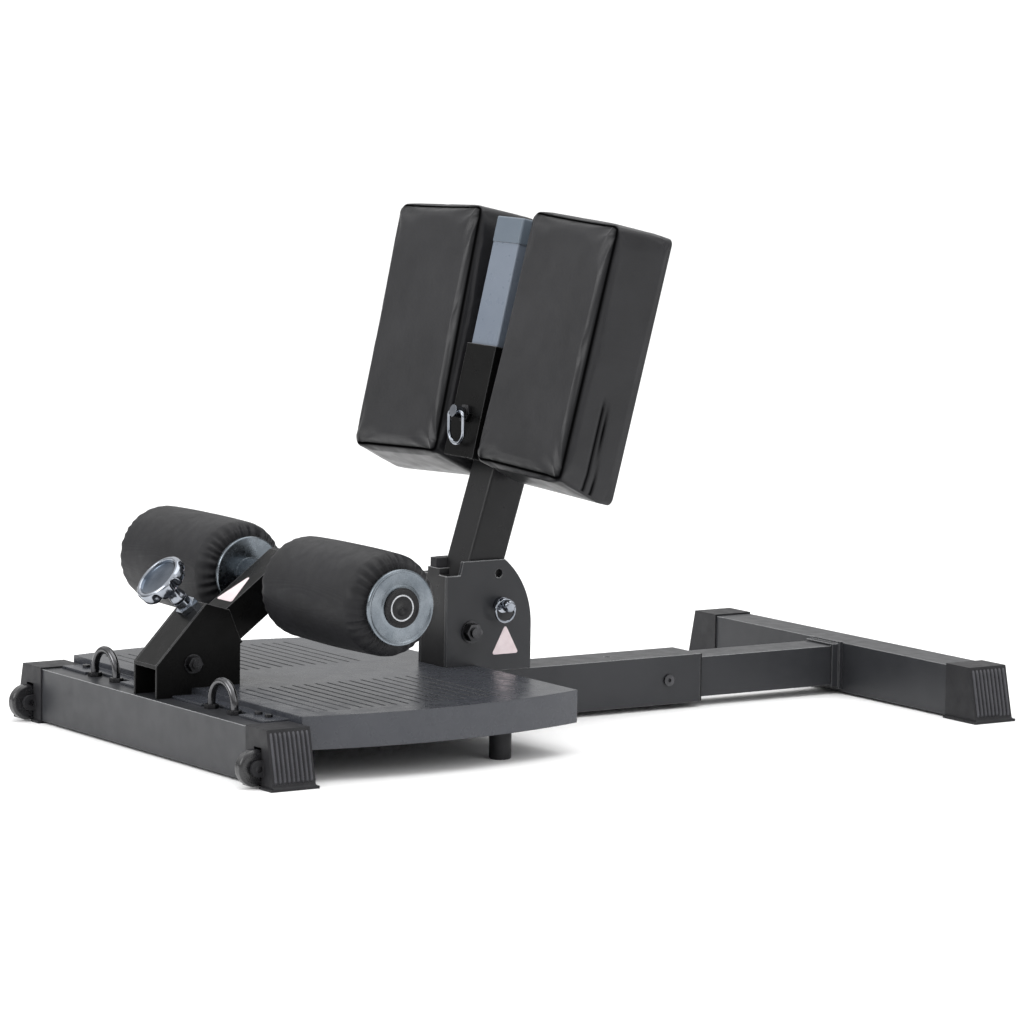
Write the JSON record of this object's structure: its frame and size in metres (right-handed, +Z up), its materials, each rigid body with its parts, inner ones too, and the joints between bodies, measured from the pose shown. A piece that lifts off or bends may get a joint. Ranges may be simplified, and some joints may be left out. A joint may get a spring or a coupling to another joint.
{
  "type": "roman chair",
  "caption": "Low training bench: grooved foot platform, ankle rollers on a sloping arm, and two tilted cushions on a leaning post, all on a telescoping T base.",
  "frame": {"origin": "on the floor, in the middle of the whole machine's bounding box", "axes": "+Y from the front crossbar to the rear crossbar, +Z up, +X to the right of a user facing -Y's far end"},
  "size_m": [0.588, 1.0384, 0.5965],
  "materials": {
    "steel": "satin",
    "deck": "satin",
    "rubber": "matte",
    "plastic": "matte",
    "cover": "matte",
    "leatherette": "satin",
    "board": "matte",
    "core": "matte",
    "column": "satin",
    "chrome": "polished",
    "zinc": "satin",
    "disc": "satin"
  },
  "bodies": {
    "base": {"front_crossbar": "steel", "front_caps": "rubber", "wheel_axles": "zinc", "band_hooks": "zinc", "band_hook_nuts": "zinc", "foot_platform": "deck", "platform_bearers": "steel", "platform_feet": "rubber", "platform_screws": "zinc", "rail_outer_tube": "steel", "rail_bush": "plastic", "rail_clamp_screw": "zinc", "ankle_side_plate_right": "steel", "ankle_side_plate_left": "steel", "ankle_top_plate": "steel", "ankle_sleeve": "steel", "ankle_bolt": "zinc", "nuts_and_washers": "zinc", "plunger_barrel": "zinc", "bracket_plate_right": "steel", "bracket_plate_left": "steel", "bracket_web": "steel", "post_bumper": "rubber", "post_pivot_bolt": "zinc"},
    "wheel_right": {"transport_wheel_right": "rubber"},
    "wheel_left": {"transport_wheel_left": "rubber"},
    "ankle_arm": {"ankle_arm_tube": "steel", "ankle_arm_cap": "plastic", "roller_axle": "disc", "flanged_hubs": "disc", "end_flanges": "disc", "flange_badges": "plastic"},
    "roller_right": {"roller_core_right": "core", "roller_pad_right": "cover"},
    "roller_left": {"roller_core_left": "core", "roller_pad_left": "cover"},
    "plunger": {"plunger_stem": "chrome", "plunger_knob": "chrome"},
    "post": {"post_tube": "steel", "post_pivot_bush": "plastic", "post_top_plug": "plastic", "head_sleeve": "steel", "head_wedge": "steel", "height_pin_barrel": "zinc"},
    "lock_pin": {"lock_pin": "chrome"},
    "lock_pin_ring": {"lock_pin_ring": "chrome"},
    "height_pin": {"height_pin": "chrome"},
    "height_pin_ring": {"height_pin_ring": "chrome"},
    "pads": {"column_tube": "column", "column_cap": "column", "column_spacer": "steel", "pad_backplate": "steel", "pad_boards": "board", "pad_screws": "zinc", "cushion_right": "leatherette", "cushion_left": "leatherette"},
    "rear_base": {"rail_inner_tube": "steel", "rear_collar": "steel", "rear_crossbar": "steel", "rear_caps": "rubber"}
  },
  "joints": [
    {"name": "wheel_right_spin", "type": "hinge", "parent": "base", "child": "wheel_right", "pos_m": [0.259, -0.49925, 0.0225], "axis": [1, 0, 0], "continuous": true},
    {"name": "wheel_left_spin", "type": "hinge", "parent": "base", "child": "wheel_left", "pos_m": [-0.259, -0.49925, 0.0225], "axis": [1, 0, 0], "continuous": true},
    {"name": "ankle_reach", "type": "slide", "parent": "base", "child": "ankle_arm", "axis": [0, 0.8059, 0.592], "range_m": [0, 0.024]},
    {"name": "roller_right_spin", "type": "hinge", "parent": "ankle_arm", "child": "roller_right", "pos_m": [0.162, -0.32389, 0.18584], "axis": [1, 0, 0], "continuous": true},
    {"name": "roller_left_spin", "type": "hinge", "parent": "ankle_arm", "child": "roller_left", "pos_m": [-0.162, -0.32389, 0.18584], "axis": [1, 0, 0], "continuous": true},
    {"name": "plunger_pull", "type": "slide", "parent": "base", "child": "plunger", "axis": [0, -0.7242, 0.6896], "range_m": [0, 0.012], "stiffness_N_per_m": 900, "springref_m": -0.012},
    {"name": "post_tilt", "type": "hinge", "parent": "base", "child": "post", "pos_m": [0, -0.07475, 0.112], "axis": [1, 0, 0], "range_deg": [0, 12]},
    {"name": "lock_pin_pull", "type": "slide", "parent": "base", "child": "lock_pin", "axis": [1, 0, 0], "range_m": [0, 0.075]},
    {"name": "lock_ring_swing", "type": "hinge", "parent": "lock_pin", "child": "lock_pin_ring", "pos_m": [0.0415, -0.03515, 0.14164], "axis": [1, 0, 0], "continuous": true},
    {"name": "height_pin_pull", "type": "slide", "parent": "post", "child": "height_pin", "axis": [0, -0.9724, 0.2334], "range_m": [0, 0.011], "stiffness_N_per_m": 600, "springref_m": -0.012},
    {"name": "height_ring_swing", "type": "hinge", "parent": "height_pin", "child": "height_pin_ring", "pos_m": [0, -0.07918, 0.36515], "axis": [1, 0, 0], "range_deg": [-90, 3]},
    {"name": "pad_height", "type": "slide", "parent": "post", "child": "pads", "axis": [0, 0.2334, 0.9724], "range_m": [0, 0.075]},
    {"name": "rail_length", "type": "slide", "parent": "base", "child": "rear_base", "axis": [0, 1, 0], "range_m": [-0.12, 0.08]}
  ]
}
